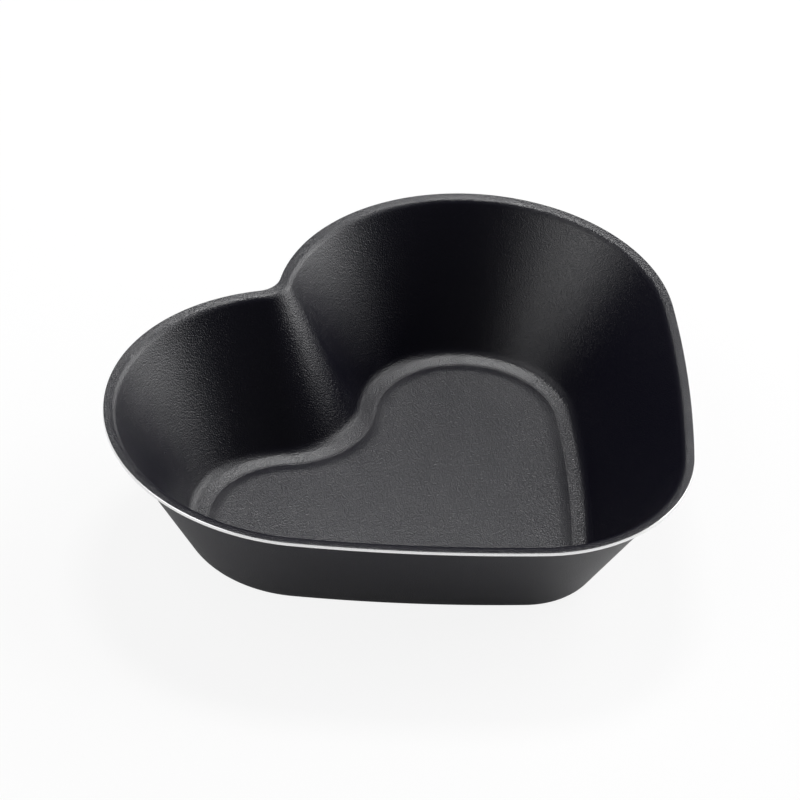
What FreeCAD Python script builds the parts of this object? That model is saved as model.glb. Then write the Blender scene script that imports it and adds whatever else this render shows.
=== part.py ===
import FreeCAD, Part
import math
import os

# A heart-shaped cake pan, pressed in one piece from coated aluminium sheet.
# Lengths are in millimetres and angles in degrees. +Z is up and the tip points to -Y.
# The origin is under the middle of the rim's box, on the surface that the pan stands on.

# Heart outline at the cut edge of the rim
LOBE_OFFSET = 45.0          # from the middle line to the centre of each lobe
LOBE_RADIUS = 75.0
TIP_OFFSET = 66.8           # from the line through the lobe centres to the tip's centre
TIP_RADIUS = 61.0
SIDE_RADIUS = 572.0         # the gentle bow between lobe and tip
CLEFT_RADIUS = 10.4         # the rounded corner between the lobes
CLEFT_GROWTH = 0.67         # what that radius gains for each millimetre of inset
SHOULDER_SPAN = 6.0         # end of each lobe that is shaped with the cleft, at the rim

# Sheet and section
PAN_HEIGHT = 53.7
SHEET = 1.5
WALL_DRAFT = 30.0           # lean of the wall from upright
LIP_WIDTH = 4.0             # from the cut edge to the corner of lip and wall
LIP_BEND = 1.6              # inside radius under the lip
FOOT_BEND = 5.5             # inside radius between the wall and the sloping ring
RING_WIDTH = 5.2            # from the wall's foot to the level land
RING_SLOPE = 8.0
LAND_WIDTH = 1.2            # level ring that the pan stands on
STEP_WIDTH = 4.0            # slope from the land up to the raised floor
STEP_HEIGHT = 0.8

BEND_PARTS = 8              # steps between the outlines that a bend passes through
SEW_TOLERANCE = 0.001

TURNED_ARCS = [0, 1, 2, 6, 7]       # tip, sides and lobes, each turned about its own centre
CLEFT_ARCS = [3, 4, 5]              # the cleft between its two shoulders
ALL_ARCS = range(8)

MIDDLE_Y = (LOBE_RADIUS - TIP_OFFSET - TIP_RADIUS) / 2.0


def polar(centre, radius, angle):
    """The point of a circle in a plane at an angle in radians."""
    return (centre[0] + radius * math.cos(angle), centre[1] + radius * math.sin(angle))


def heading(start, end):
    """The direction from one point of a plane to another, in radians."""
    return math.atan2(end[1] - start[1], end[0] - start[0])


def cleft_heading(lobe_radius, cleft_radius):
    """The direction from the right lobe's centre to the centre of the cleft's arc."""
    return math.pi - math.acos(LOBE_OFFSET / (lobe_radius + cleft_radius))


def side_centre(lobe, tip, lobe_radius, tip_radius, side_radius):
    """Centre of the bowed side, which the lobe and the tip touch from within."""
    span = math.dist(tip, lobe)
    from_tip = side_radius - tip_radius
    from_lobe = side_radius - lobe_radius
    along = (span ** 2 + from_tip ** 2 - from_lobe ** 2) / (2.0 * span)
    across = math.sqrt(from_tip ** 2 - along ** 2)
    course = heading(tip, lobe)
    return polar(polar(tip, along, course), across, course + math.pi / 2.0)


def heart_arcs(offset):
    """The eight tangent arcs of the heart, with the rim's edge moved out by an offset.

    Each arc is (centre, radius, start angle, end angle), anticlockwise round the heart:
    tip, side, lobe and shoulder, then the cleft, and the left half back to the tip.
    """
    lobe_radius = LOBE_RADIUS + offset
    tip_radius = TIP_RADIUS + offset
    side_radius = SIDE_RADIUS + offset
    cleft_radius = CLEFT_RADIUS - CLEFT_GROWTH * offset
    lobe = (LOBE_OFFSET, 0.0)
    tip = (0.0, -TIP_OFFSET)
    side = side_centre(lobe, tip, lobe_radius, tip_radius, side_radius)
    tip_end = heading(side, tip)
    lobe_start = heading(side, lobe)
    lobe_end = cleft_heading(LOBE_RADIUS, CLEFT_RADIUS) - math.radians(SHOULDER_SPAN)
    cleft_start = cleft_heading(lobe_radius, cleft_radius)
    right_half = [
        (side, side_radius, tip_end, lobe_start),
        (lobe, lobe_radius, lobe_start, lobe_end),
        (lobe, lobe_radius, lobe_end, cleft_start),
    ]
    left_half = []
    for centre, radius, start, end in reversed(right_half):
        left_half.append(((-centre[0], centre[1]), radius, math.pi - end, math.pi - start))
    cleft_y = math.sqrt((lobe_radius + cleft_radius) ** 2 - LOBE_OFFSET ** 2)
    tip_arc = (tip, tip_radius, -math.pi - tip_end, tip_end)
    cleft_arc = ((0.0, cleft_y), cleft_radius, cleft_start - math.pi, -cleft_start)
    return [tip_arc] + right_half + [cleft_arc] + left_half


def arc_point(arc, angle, height):
    """A point of a plan arc, lifted to a height of the pan."""
    x, y = polar(arc[0], arc[1], angle)
    return FreeCAD.Vector(x, y - MIDDLE_Y, height)


def arc_edge(arc, height):
    """A plan arc as an edge at a height of the pan."""
    start, end = arc[2:]
    middle = (start + end) / 2.0
    return Part.Arc(*[arc_point(arc, angle, height) for angle in (start, middle, end)]).toShape()


def outline_wire(station, chosen):
    """The chosen arcs of the heart, joined at a station (offset, height) of the section."""
    offset, height = station
    arcs = heart_arcs(offset)
    return Part.Wire([arc_edge(arcs[index], height) for index in chosen])


def turned_face(stations, index):
    """One stretch of the section turned about the upright axis of one plan arc."""
    points = []
    for offset, height in (stations[0], stations[len(stations) // 2], stations[-1]):
        arc = heart_arcs(offset)[index]
        points.append(arc_point(arc, arc[2], height))
    if len(stations) == 2:
        profile = Part.LineSegment(points[0], points[2])
    else:
        profile = Part.Arc(*points)
    centre, _, start, end = heart_arcs(0.0)[index]
    axis_point = FreeCAD.Vector(centre[0], centre[1] - MIDDLE_Y, 0.0)
    sweep = math.degrees(end - start)
    return profile.toShape().revolve(axis_point, FreeCAD.Vector(0, 0, 1), sweep)


def section_corners():
    """Corners of the section's upper skin, from the rim inwards, as (offset, height)."""
    slope = math.tan(math.radians(RING_SLOPE))
    lean = math.tan(math.radians(WALL_DRAFT))
    lip_corner = (-LIP_WIDTH, PAN_HEIGHT)
    wall_foot = lip_corner[0] - lean * (PAN_HEIGHT - SHEET)
    land_start = (wall_foot - RING_WIDTH, SHEET)
    foot_rise = slope * RING_WIDTH / (1.0 - slope * lean)
    foot_corner = (wall_foot + lean * foot_rise, SHEET + foot_rise)
    land_end = (land_start[0] - LAND_WIDTH, SHEET)
    step_top = (land_end[0] - STEP_WIDTH, SHEET + STEP_HEIGHT)
    return [lip_corner, foot_corner, land_start, land_end, step_top]


def bend_stations(corner, course, turn, radius):
    """Stations along the round bend that takes the place of a skin's corner."""
    side = math.copysign(math.pi / 2.0, turn)
    start = polar(corner, -radius * math.tan(abs(turn) / 2.0), course)
    centre = polar(start, radius, course + side)
    stations = []
    for part in range(BEND_PARTS + 1):
        stations.append(polar(centre, radius, course - side + turn * part / BEND_PARTS))
    return stations


def skin_stretches(depth):
    """One skin of the section, at a depth into the sheet, cut into straights and bends.

    A straight is its two end stations, and a bend is the stations along its arc.
    The corners beside the land and the step turn so little that they stay sharp.
    """
    corners = section_corners()
    bends = [LIP_BEND, FOOT_BEND, None, None, None]
    rim = (0.0, PAN_HEIGHT)
    middle = (2.0 * corners[-1][0], corners[-1][1])
    path = [rim] + corners + [middle]
    last = (rim[0], rim[1] - depth)
    stretches = []
    for before, corner, after, inside in zip(path, corners, path[2:], bends):
        course = heading(before, corner) % (2.0 * math.pi)
        turn = heading(corner, after) % (2.0 * math.pi) - course
        bisector = course + turn / 2.0 + math.pi / 2.0
        skin_corner = polar(corner, depth / math.cos(turn / 2.0), bisector)
        if inside is None:
            stretches.append([last, skin_corner])
            last = skin_corner
        else:
            radius = inside + (SHEET - depth if turn > 0.0 else depth)
            bend = bend_stations(skin_corner, course, turn, radius)
            stretches.extend([[last, bend[0]], bend])
            last = bend[-1]
    return stretches


def band(stations):
    """The faces between the heart outlines at the stations of one stretch."""
    if math.isclose(stations[0][1], stations[-1][1], abs_tol=SEW_TOLERANCE):
        outer = Part.Face(outline_wire(stations[0], ALL_ARCS))
        inner = Part.Face(outline_wire(stations[-1], ALL_ARCS))
        return outer.cut(inner).Faces
    faces = [turned_face(stations, index) for index in TURNED_ARCS]
    cleft_wires = [outline_wire(station, CLEFT_ARCS) for station in stations]
    is_straight = len(stations) == 2
    return faces + Part.makeLoft(cleft_wires, False, is_straight).Faces


def make_pan():
    """The pressed sheet: an upper and a lower skin joined by the rim's cut edge."""
    top = skin_stretches(0.0)
    underside = skin_stretches(SHEET)
    faces = band([top[0][0], underside[0][0]])
    for skin in (top, underside):
        for stretch in skin:
            faces.extend(band(stretch))
        faces.append(Part.Face(outline_wire(skin[-1][-1], ALL_ARCS)))
    shell = Part.Shell(faces)
    shell.sewShape(SEW_TOLERANCE)
    return Part.Solid(shell)


os.makedirs("parts", exist_ok=True)
pan = make_pan()
pan.exportStep("parts/cake_pan.step")
box = pan.BoundBox
print("cake_pan valid", pan.isValid(), "volume", round(pan.Volume), "faces", len(pan.Faces))
print("box", [round(v, 2) for v in (box.XMin, box.YMin, box.ZMin, box.XMax, box.YMax, box.ZMax)])
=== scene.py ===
import math

import bpy
from mathutils import Matrix, Vector


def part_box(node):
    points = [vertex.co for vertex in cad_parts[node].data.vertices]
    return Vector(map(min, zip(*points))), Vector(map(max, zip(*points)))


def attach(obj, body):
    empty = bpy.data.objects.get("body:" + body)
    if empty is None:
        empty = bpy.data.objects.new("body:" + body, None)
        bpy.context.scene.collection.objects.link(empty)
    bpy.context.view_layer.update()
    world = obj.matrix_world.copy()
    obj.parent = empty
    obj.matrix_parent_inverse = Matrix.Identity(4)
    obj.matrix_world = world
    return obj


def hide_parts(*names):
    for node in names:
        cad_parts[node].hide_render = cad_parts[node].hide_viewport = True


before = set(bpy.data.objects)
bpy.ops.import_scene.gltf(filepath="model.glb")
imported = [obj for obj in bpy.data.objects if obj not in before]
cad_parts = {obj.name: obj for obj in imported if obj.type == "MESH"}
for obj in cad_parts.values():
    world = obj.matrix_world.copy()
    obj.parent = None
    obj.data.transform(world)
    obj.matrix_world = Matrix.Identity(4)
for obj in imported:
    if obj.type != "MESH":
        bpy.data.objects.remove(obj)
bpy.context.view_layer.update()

# A heart-shaped cake pan, pressed from sheet with a grained non-stick coating.
# Lengths are in metres and angles in degrees. The tip of the heart points to -Y.

MM = 0.001
low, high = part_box("cake_pan")

# Heart outline at the cut edge of the rim
LOBE_OFFSET = 45.0 * MM         # from the middle line to the centre of each lobe
LOBE_RADIUS = high.x - LOBE_OFFSET
LOBE_LINE = high.y - LOBE_RADIUS        # where the lobes' centres stand along Y
TIP_RADIUS = 61.0 * MM
TIP_OFFSET = LOBE_LINE - low.y - TIP_RADIUS
SIDE_RADIUS = 572.0 * MM
CLEFT_RADIUS = 10.4 * MM
CLEFT_GROWTH = 0.67             # what the cleft's radius gains for each metre of inset

# Sheet and section
PAN_HEIGHT = high.z
SHEET = 1.5 * MM
WALL_DRAFT = 30.0               # lean of the wall from upright
LIP_WIDTH = 4.0 * MM            # from the cut edge to the corner of lip and wall
LIP_SLOPE = 8.0                 # fall of the lip towards the inside
LIP_BEND = 1.6 * MM
FOOT_BEND = 5.5 * MM
RING_WIDTH = 5.2 * MM           # from the wall's foot to the level land
RING_SLOPE = 8.0
LAND_WIDTH = 1.2 * MM           # level ring that the pan stands on
STEP_WIDTH = 3.1 * MM           # slope from the land up to the raised floor
STEP_HEIGHT = 0.8 * MM
STEP_BEND = 2.0 * MM            # inside radius on both sides of the land
FLOOR_BEND = 16.0 * MM          # inside radius where the step runs out into the floor
RIM_BEND = 0.3 * MM             # the coated upper corner of the rim
EDGE_BEND = 0.2 * MM            # the bare lower corner, as the trimming die leaves it
CUT_REACH = 0.25 * MM           # how far in from the outermost line the metal is bare
FLOOR_REACH = 40.0 * MM         # length of section drawn for the level floor, edge to middle
FLOOR_RIM = 3.0 * MM            # outer part of it that still follows the heart
FLOOR_MIDDLE = -15.0 * MM       # where the floor's drawn lines meet, from the lobes' line

# Fineness of the mesh
BEND_PARTS = 7                  # facets of each bend of the section
STRAIGHT_PART = 3.0 * MM        # longest part of a straight run of the section
SEAM_GAP = 0.01 * MM            # points nearer than this are joined
TIP_STEPS = 36                  # steps round half of the heart, arc by arc
SIDE_STEPS = 18
LOBE_STEPS = 96
CLEFT_STEPS = 34
HALF_STEPS = TIP_STEPS + SIDE_STEPS + LOBE_STEPS + CLEFT_STEPS

# Camera, as fitted to the photograph
IMAGE_SIDE = 800.0              # pixels
SENSOR = 36.0                   # millimetres
FOCAL_PIXELS = 5868.71
CAMERA_TARGET = Vector((6.07, 26.98, 32.2)) * MM
CAMERA_DISTANCE = 2178.75 * MM
CAMERA_AZIMUTH = -49.65
CAMERA_ELEVATION = 38.07
CAMERA_ROLL = 4.54
FARTHEST_VIEW = 20.0

# Coating
PEBBLE = 0.5 * MM               # across one pebble of the coating's texture
PEBBLE_HEIGHT = 0.16 * MM
# Painted shade: the hollows between the pebbles are given a darker colour than the pebbles' tops
HOLLOW_PAINTED_SHADE = (0.0015, 0.0014, 0.005, 1.0)     # between the pebbles
PEBBLE_SHADE = (0.0045, 0.004, 0.0105, 1.0)
COATING_ROUGHNESS = 0.29

# Cut edge
SHEAR_MARK = 0.6 * MM           # across one mark that the trimming die leaves
METAL_SHADE = (0.88, 0.88, 0.88, 1.0)
METAL_ROUGHNESS = 0.2
SHEAR_ROUGHNESS = 0.2           # what the roughest marks add

# Studio
WHITE = (1.0, 1.0, 1.0, 1.0)
FLOOR_SHADE = (0.9, 0.9, 0.9, 1.0)
FLOOR_HALF = 6.0                # from the pan to the floor's sides
FLOOR_GLOW = 0.88               # share of the floor's white that the shadow can't take
GLOSS_GLOW = 0.03               # the same share where the pan's gloss mirrors the floor
WORLD_STRENGTH = 0.06
LAMP_DISTANCE = 1.5
LAMP_AIM = Vector((0.0, 0.0, 0.03))
SOFTBOXES = [                   # name, azimuth, elevation, width, height, brightness
    ("overhead_softbox", -178.0, 60.0, 0.42, 0.33, 23.5),
    ("back_softbox", -166.0, 40.0, 0.3, 0.26, 1.6),
    ("right_low_softbox", 114.0, 16.3, 1.15, 0.68, 5.5),
    ("right_back_softbox", 148.0, 26.0, 0.45, 0.45, 6.0),
    ("right_high_softbox", 126.0, 46.0, 0.85, 0.45, 5.2),
    ("left_low_softbox", -60.0, 10.8, 1.3, 0.65, 3.6),
    ("left_high_softbox", -82.0, 51.0, 1.1, 0.95, 1.5),
]

# Sockets of a colour Mix node that share their names with others
MIX_FIRST, MIX_SECOND, MIXED = 6, 7, 2


class Field:
    """An output socket that takes part in sums: each one adds a Math node to its tree."""

    def __init__(self, wiring, socket):
        self.wiring = wiring
        self.socket = socket

    def other(self, name):
        """Another output of the same node."""
        return Field(self.wiring, self.socket.node.outputs[name])

    def math(self, operation, *values):
        """What a Math node makes of this value and others."""
        inputs = dict(enumerate((self,) + values))
        return self.wiring.add("ShaderNodeMath", {"operation": operation}, inputs)

    def __add__(self, value):
        return self.math("ADD", value)

    __radd__ = __add__

    def __sub__(self, value):
        return self.math("SUBTRACT", value)

    def __rsub__(self, value):
        return self.math("MULTIPLY", -1.0).math("ADD", value)

    def __mul__(self, value):
        return self.math("MULTIPLY", value)

    __rmul__ = __mul__

    def __truediv__(self, value):
        return self.math("DIVIDE", value)

    def __pow__(self, value):
        return self.math("POWER", value)

    def __gt__(self, value):
        return self.math("GREATER_THAN", value)

    def __abs__(self):
        return self.math("ABSOLUTE")

    def clipped(self):
        """The value kept between 0 and 1."""
        return self.math("MAXIMUM", 0.0).math("MINIMUM", 1.0)


class Wiring:
    """Adds nodes to a tree, with their settings first and then their sockets."""

    def __init__(self, tree):
        self.tree = tree

    def add(self, kind, settings=(), inputs=(), output=0):
        """A new node's output, or the node itself where it has none."""
        node = self.tree.nodes.new(kind)
        for name, value in dict(settings).items():
            setattr(node, name, value)
        for name, value in dict(inputs).items():
            if isinstance(value, Field):
                self.tree.links.new(value.socket, node.inputs[name])
            else:
                node.inputs[name].default_value = value
        return Field(self, node.outputs[output]) if len(node.outputs) else node


def polar(centre, radius, angle):
    """The point of a circle in a plane at an angle in radians."""
    return (centre[0] + radius * math.cos(angle), centre[1] + radius * math.sin(angle))


def heading(start, end):
    """The direction from one point of a plane to another, in radians."""
    return math.atan2(end[1] - start[1], end[0] - start[0])


def section_corners():
    """Corners of the section's upper skin, from the rim inwards, as (inset, height)."""
    slope = math.tan(math.radians(RING_SLOPE))
    lean = math.tan(math.radians(WALL_DRAFT))
    tilt = math.radians(LIP_SLOPE)
    bend_rise = RIM_BEND * (math.sin(tilt) + math.cos(tilt) - 1.0)
    rim = (-SHEET * math.sin(tilt), PAN_HEIGHT + bend_rise)
    lip_drop = math.tan(tilt) * (LIP_WIDTH + rim[0]) / (1.0 - math.tan(tilt) * lean)
    wall_foot = -LIP_WIDTH - lean * (PAN_HEIGHT - SHEET)
    land_start = wall_foot - RING_WIDTH
    land_end = land_start - LAND_WIDTH
    foot_rise = slope * RING_WIDTH / (1.0 - slope * lean)
    return [
        rim,
        (-LIP_WIDTH - lean * lip_drop, PAN_HEIGHT - lip_drop),
        (wall_foot + lean * foot_rise, SHEET + foot_rise),
        (land_start, SHEET),
        (land_end, SHEET),
        (land_end - STEP_WIDTH, SHEET + STEP_HEIGHT),
    ]


def run_to(stations, end):
    """Adds the parts of a straight run from the last station to its end."""
    start = stations[-1]
    parts = math.ceil(math.dist(start, end) / STRAIGHT_PART)
    for part in range(1, parts + 1):
        share = part / parts
        stations.append(tuple(a + (b - a) * share for a, b in zip(start, end)))


def rounded(path, radii):
    """The stations along a path of the section whose corners are taken off by bends."""
    stations = [path[0]]
    for before, corner, after, radius in zip(path, path[1:], path[2:], radii):
        course = heading(before, corner)
        turn = math.remainder(heading(corner, after) - course, 2.0 * math.pi)
        side = math.copysign(math.pi / 2.0, turn)
        start = polar(corner, -radius * math.tan(abs(turn) / 2.0), course)
        centre = polar(start, radius, course + side)
        run_to(stations, start)
        for part in range(1, BEND_PARTS + 1):
            stations.append(polar(centre, radius, course - side + turn * part / BEND_PARTS))
    run_to(stations, path[-1])
    return stations


def pan_section():
    """The sheet's section from the floor's middle, over the rim and back under the floor.

    Each corner of the upper skin is set through the sheet to give the underside's corner.
    """
    rim, *corners = section_corners()
    bends = [LIP_BEND, FOOT_BEND, STEP_BEND, STEP_BEND, FLOOR_BEND]
    middle = (corners[-1][0] - FLOOR_REACH, corners[-1][1])
    path = [rim] + corners + [middle]
    top_radii, under, under_radii = [], [], []
    for before, corner, after, inside in zip(path, corners, path[2:], bends):
        course = heading(before, corner)
        turn = math.remainder(heading(corner, after) - course, 2.0 * math.pi)
        bisector = course + turn / 2.0 + math.pi / 2.0
        under.append(polar(corner, SHEET / math.cos(turn / 2.0), bisector))
        top_radii.append(inside + (SHEET if turn > 0.0 else 0.0))
        under_radii.append(inside + (0.0 if turn > 0.0 else SHEET))
    under_rim = polar(rim, SHEET, heading(rim, corners[0]) + math.pi / 2.0)
    under_middle = (middle[0], middle[1] - SHEET)
    loop = [middle] + corners[::-1] + [rim, under_rim] + under + [under_middle]
    radii = top_radii[::-1] + [RIM_BEND, EDGE_BEND] + under_radii
    return rounded(loop, radii)


HEART_SIZES = {
    "Lobe Offset": LOBE_OFFSET,
    "Lobe Radius": LOBE_RADIUS,
    "Lobe Line": LOBE_LINE,
    "Tip Offset": TIP_OFFSET,
    "Tip Radius": TIP_RADIUS,
    "Side Radius": SIDE_RADIUS,
    "Cleft Radius": CLEFT_RADIUS,
    "Cleft Growth": CLEFT_GROWTH,
    "Floor Edge": section_corners()[-1][0] - FLOOR_RIM,
    "Floor Reach": FLOOR_REACH - FLOOR_RIM,
    "Floor Middle": FLOOR_MIDDLE,
}


def arc(centre_x, centre_y, radius, start, end, share):
    """The point of an arc at a share of its way, as two fields."""
    angle = start + (end - start) * share
    x = centre_x + radius * angle.math("COSINE")
    y = centre_y + radius * angle.math("SINE")
    return x, y


def heart_place(size, inset, step):
    """Where a station of the section comes to lie in plan, at a step round the heart.

    Tip, side and lobe are turned about fixed centres, and the cleft's arc takes up what
    is left between the lobes. The left half is the right half's mirror image.
    """
    lobe_radius = size["Lobe Radius"] + inset
    tip_radius = size["Tip Radius"] + inset
    side_radius = size["Side Radius"] + inset
    cleft_radius = size["Cleft Radius"] - size["Cleft Growth"] * inset

    span = (size["Lobe Offset"] ** 2 + size["Tip Offset"] ** 2).math("SQRT")
    course = size["Tip Offset"].math("ARCTAN2", size["Lobe Offset"])
    from_tip = size["Side Radius"] - size["Tip Radius"]
    from_lobe = size["Side Radius"] - size["Lobe Radius"]
    along = (span ** 2 + from_tip ** 2 - from_lobe ** 2) / (2.0 * span)
    tip_angle = course + (along / from_tip).math("ARCCOSINE")
    side_x = from_tip * tip_angle.math("COSINE")
    side_y = from_tip * tip_angle.math("SINE") - size["Tip Offset"]
    side_start = tip_angle - math.pi
    side_end = (-1.0 * side_y).math("ARCTAN2", size["Lobe Offset"] - side_x)

    reach = lobe_radius + cleft_radius
    lobe_end = math.pi - (size["Lobe Offset"] / reach).math("ARCCOSINE")
    cleft_y = (reach ** 2 - size["Lobe Offset"] ** 2).math("SQRT")

    half = HALF_STEPS - abs(HALF_STEPS - step)
    low_point = -math.pi / 2.0
    tip_y = -1.0 * size["Tip Offset"]
    x, y = arc(0.0, tip_y, tip_radius, low_point, side_start, (half / TIP_STEPS).clipped())
    passed = TIP_STEPS
    for steps, centre_x, centre_y, radius, start, end in [
        (SIDE_STEPS, side_x, side_y, side_radius, side_start, side_end),
        (LOBE_STEPS, size["Lobe Offset"], 0.0, lobe_radius, side_end, lobe_end),
        (CLEFT_STEPS, 0.0, cleft_y, cleft_radius, lobe_end - math.pi, low_point),
    ]:
        share = ((half - passed) / steps).clipped()
        to_x, to_y = arc(centre_x, centre_y, radius, start, end, share)
        is_past = half > passed
        x = x + (to_x - x) * is_past
        y = y + (to_y - y) * is_past
        passed += steps
    mirror = 1.0 - 2.0 * (step > HALF_STEPS)
    return x * mirror, y


def press_tree(coating, bare_metal):
    """The tree that draws the section out along a rail and bends the rail round the heart."""
    tree = bpy.data.node_groups.new("pressed_heart", "GeometryNodeTree")
    tree.interface.new_socket("Geometry", in_out="OUTPUT", socket_type="NodeSocketGeometry")
    tree.interface.new_socket("Section", in_out="INPUT", socket_type="NodeSocketGeometry")
    for name in HEART_SIZES:
        tree.interface.new_socket(name, in_out="INPUT", socket_type="NodeSocketFloat")
    wiring = Wiring(tree)
    group = wiring.add("NodeGroupInput")
    size = {name: group.other(name) for name in HEART_SIZES}

    def kept(geometry, name, value):
        inputs = {"Geometry": geometry, "Name": name, "Value": value}
        return wiring.add("GeometryNodeStoreNamedAttribute", {}, inputs)

    def read(name):
        return wiring.add("GeometryNodeInputNamedAttribute", {}, {"Name": name})

    position = wiring.add("GeometryNodeInputPosition")
    station = wiring.add("ShaderNodeSeparateXYZ", {}, {"Vector": position})
    section = wiring.add("GeometryNodeMeshToCurve", {}, {"Mesh": group.other("Section")})
    section = kept(kept(section, "inset", station), "height", station.other("Z"))
    rail = wiring.add("GeometryNodeCurvePrimitiveLine")
    rail = wiring.add("GeometryNodeResampleCurve", {}, {"Curve": rail, "Count": 2 * HALF_STEPS + 1})
    rail = kept(rail, "step", wiring.add("GeometryNodeInputIndex"))
    sheet = wiring.add("GeometryNodeCurveToMesh", {}, {"Curve": rail, "Profile Curve": section})

    inset = read("inset")
    floor_share = ((size["Floor Edge"] - inset) / size["Floor Reach"]).clipped()
    x, y = heart_place(size, inset.math("MAXIMUM", size["Floor Edge"]), read("step"))
    x = x * (1.0 - floor_share)
    y = y + (size["Floor Middle"] - y) * floor_share
    place = {"X": x, "Y": y + size["Lobe Line"], "Z": read("height")}
    place = wiring.add("ShaderNodeCombineXYZ", {}, place)
    pan = wiring.add("GeometryNodeSetPosition", {}, {"Geometry": sheet, "Position": place})
    pan = wiring.add("GeometryNodeMergeByDistance", {}, {"Geometry": pan, "Distance": SEAM_GAP})
    pan = wiring.add("GeometryNodeSetShadeSmooth", {}, {"Geometry": pan, "Shade Smooth": True})
    pan = wiring.add("GeometryNodeRealizeInstances", {}, {"Geometry": pan})
    pan = wiring.add("GeometryNodeSetMaterial", {}, {"Geometry": pan, "Material": coating})
    is_cut = inset > -CUT_REACH
    cut = {"Geometry": pan, "Selection": is_cut, "Material": bare_metal}
    pan = wiring.add("GeometryNodeSetMaterial", {}, cut)
    wiring.add("NodeGroupOutput", {}, {"Geometry": pan})
    return tree


def pressed_pan(coating, bare_metal):
    """The pan's mesh, made from its section by the press tree."""
    stations = pan_section()
    points = [(inset, 0.0, height) for inset, height in stations]
    edges = [(index, index + 1) for index in range(len(points) - 1)]
    drawing = bpy.data.meshes.new("pan_section")
    drawing.from_pydata(points, edges, [])
    pan = bpy.data.objects.new("pressed_pan", drawing)
    bpy.context.scene.collection.objects.link(pan)
    press = pan.modifiers.new("press", "NODES")
    press.node_group = press_tree(coating, bare_metal)
    for item in press.node_group.interface.items_tree:
        if item.name in HEART_SIZES:
            press[item.identifier] = HEART_SIZES[item.name]
    evaluated = pan.evaluated_get(bpy.context.evaluated_depsgraph_get())
    mesh = bpy.data.meshes.new_from_object(evaluated)
    pan.modifiers.remove(press)
    pan.data = mesh
    return pan


def finish_of(name):
    """A material and the wiring of its empty tree, which ends in one shader."""
    material = bpy.data.materials.new(name)
    material.use_nodes = True
    material.node_tree.nodes.clear()
    return material, Wiring(material.node_tree)


def nonstick_coating():
    """Charcoal coating, satin and finely pebbled, with painted shade that darkens its colour in the
    hollows between the pebbles.
    """
    material, wiring = finish_of("pebbled_coating")
    place = wiring.add("ShaderNodeTexCoord", output="Object")
    pebble = {"Vector": place, "Scale": 1.0 / PEBBLE, "Detail": 1.0, "Roughness": 0.5}
    pebbles = wiring.add("ShaderNodeTexNoise", {}, pebble)
    bump = {"Height": pebbles, "Strength": 1.0, "Distance": PEBBLE_HEIGHT}
    normal = wiring.add("ShaderNodeBump", {}, bump)
    # Painted shade: the noise that raises the pebbles also darkens the colour in the hollows
    colours_with_painted_shade = {"Factor": pebbles, MIX_FIRST: HOLLOW_PAINTED_SHADE, MIX_SECOND: PEBBLE_SHADE}
    coat_colour_with_painted_shade = wiring.add("ShaderNodeMix", {"data_type": "RGBA"}, colours_with_painted_shade, output=MIXED)
    coat = {"Base Color": coat_colour_with_painted_shade, "Roughness": COATING_ROUGHNESS, "Normal": normal}
    shader = wiring.add("ShaderNodeBsdfPrincipled", {}, coat)
    wiring.add("ShaderNodeOutputMaterial", {}, {"Surface": shader})
    return material


def bare_metal():
    """Aluminium where the trimming die has cut the coated sheet."""
    material, wiring = finish_of("bare_cut_metal")
    place = wiring.add("ShaderNodeTexCoord", output="Object")
    drag = {"Vector": place, "Scale": 1.0 / SHEAR_MARK, "Detail": 2.0}
    marks = wiring.add("ShaderNodeTexNoise", {}, drag)
    roughness = METAL_ROUGHNESS + SHEAR_ROUGHNESS * marks
    metal = {"Base Color": METAL_SHADE, "Metallic": 1.0, "Roughness": roughness}
    shader = wiring.add("ShaderNodeBsdfPrincipled", {}, metal)
    wiring.add("ShaderNodeOutputMaterial", {}, {"Surface": shader})
    return material


def pale_floor():
    """White floor that shows as white and keeps the pan's shadow."""
    material, wiring = finish_of("pale_floor")
    path = wiring.add("ShaderNodeLightPath", output="Is Camera Ray")
    mirrored = path.other("Is Glossy Ray").math("MAXIMUM", path.other("Is Transmission Ray"))
    glow = (path * FLOOR_GLOW).math("MAXIMUM", mirrored * GLOSS_GLOW)
    lit = wiring.add("ShaderNodeBsdfDiffuse", {}, {"Color": FLOOR_SHADE})
    white = wiring.add("ShaderNodeEmission", {}, {"Color": WHITE, "Strength": 1.0})
    both = wiring.add("ShaderNodeMixShader", {}, {"Fac": glow, 1: lit, 2: white})
    wiring.add("ShaderNodeOutputMaterial", {}, {"Surface": both})
    return material


def make_floor():
    """A level floor under the pan, wide enough to fill every view."""
    mesh = bpy.data.meshes.new("studio_floor")
    corners = [(-1, -1), (1, -1), (1, 1), (-1, 1)]
    points = [(x * FLOOR_HALF, y * FLOOR_HALF, 0.0) for x, y in corners]
    mesh.from_pydata(points, [], [(0, 1, 2, 3)])
    floor = bpy.data.objects.new("studio_floor", mesh)
    floor.data.materials.append(pale_floor())
    bpy.context.scene.collection.objects.link(floor)


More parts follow.
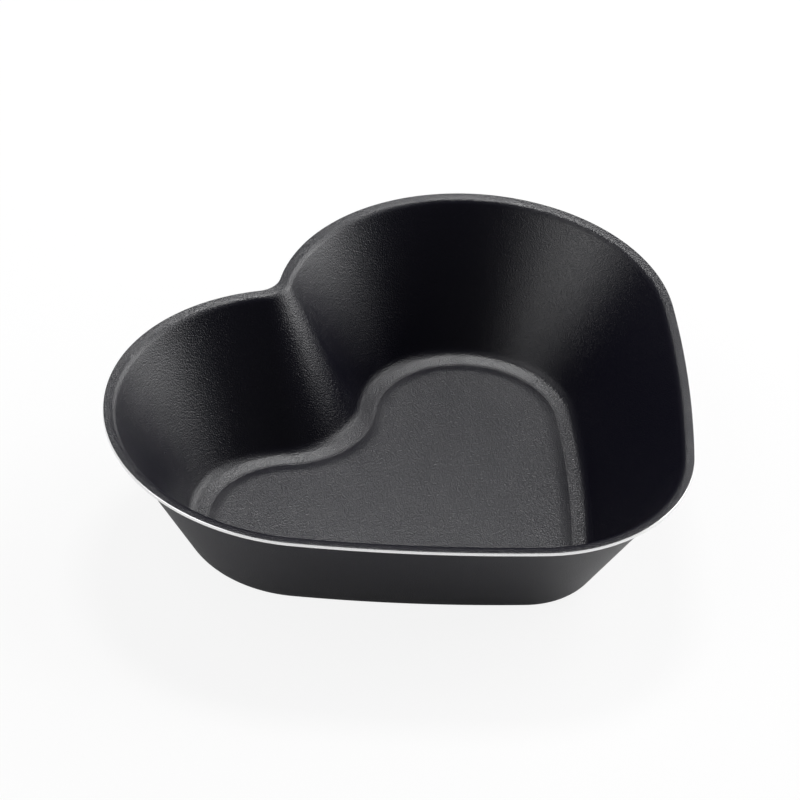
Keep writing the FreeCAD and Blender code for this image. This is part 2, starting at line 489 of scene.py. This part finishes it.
def towards(azimuth, elevation):
    """The direction from the pan to a place round it; azimuth 0 is on the -Y side."""
    turn, rise = math.radians(azimuth), math.radians(elevation)
    across = math.cos(rise)
    return Vector((math.sin(turn) * across, -math.cos(turn) * across, math.sin(rise)))


def make_camera():
    """The camera at the photograph's angle, rolled as the photograph is."""
    camera = bpy.data.objects.new("camera", bpy.data.cameras.new("camera"))
    camera.data.sensor_width = SENSOR
    camera.data.lens = FOCAL_PIXELS * SENSOR / IMAGE_SIDE
    camera.data.clip_end = FARTHEST_VIEW
    back = towards(CAMERA_AZIMUTH, CAMERA_ELEVATION)
    turned = (-back).to_track_quat("-Z", "Y").to_matrix().to_4x4()
    turned = turned @ Matrix.Rotation(math.radians(CAMERA_ROLL), 4, "Z")
    camera.matrix_world = Matrix.Translation(CAMERA_TARGET + back * CAMERA_DISTANCE) @ turned
    bpy.context.scene.collection.objects.link(camera)
    bpy.context.scene.camera = camera


def softbox(name, azimuth, elevation, width, height, brightness):
    """A flat lamp turned to the pan. Azimuth is counted from the camera's own side."""
    lamp = bpy.data.lights.new(name, "AREA")
    lamp.shape = "RECTANGLE"
    lamp.size = width
    lamp.size_y = height
    lamp.energy = brightness * math.pi * width * height
    holder = bpy.data.objects.new(name, lamp)
    back = towards(CAMERA_AZIMUTH + azimuth, elevation)
    turned = (-back).to_track_quat("-Z", "Y").to_matrix().to_4x4()
    holder.matrix_world = Matrix.Translation(LAMP_AIM + back * LAMP_DISTANCE) @ turned
    bpy.context.scene.collection.objects.link(holder)


def make_world():
    """A faint, even light from all round."""
    world = bpy.data.worlds.new("studio")
    world.use_nodes = True
    background = world.node_tree.nodes["Background"]
    background.inputs["Color"].default_value = WHITE
    background.inputs["Strength"].default_value = WORLD_STRENGTH
    bpy.context.scene.world = world


bpy.context.scene.view_settings.view_transform = "Standard"
make_camera()
make_world()
make_floor()
for lamp in SOFTBOXES:
    softbox(*lamp)
pan = pressed_pan(nonstick_coating(), bare_metal())
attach(pan, "root")
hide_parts("cake_pan")

bpy.context.view_layer.update()
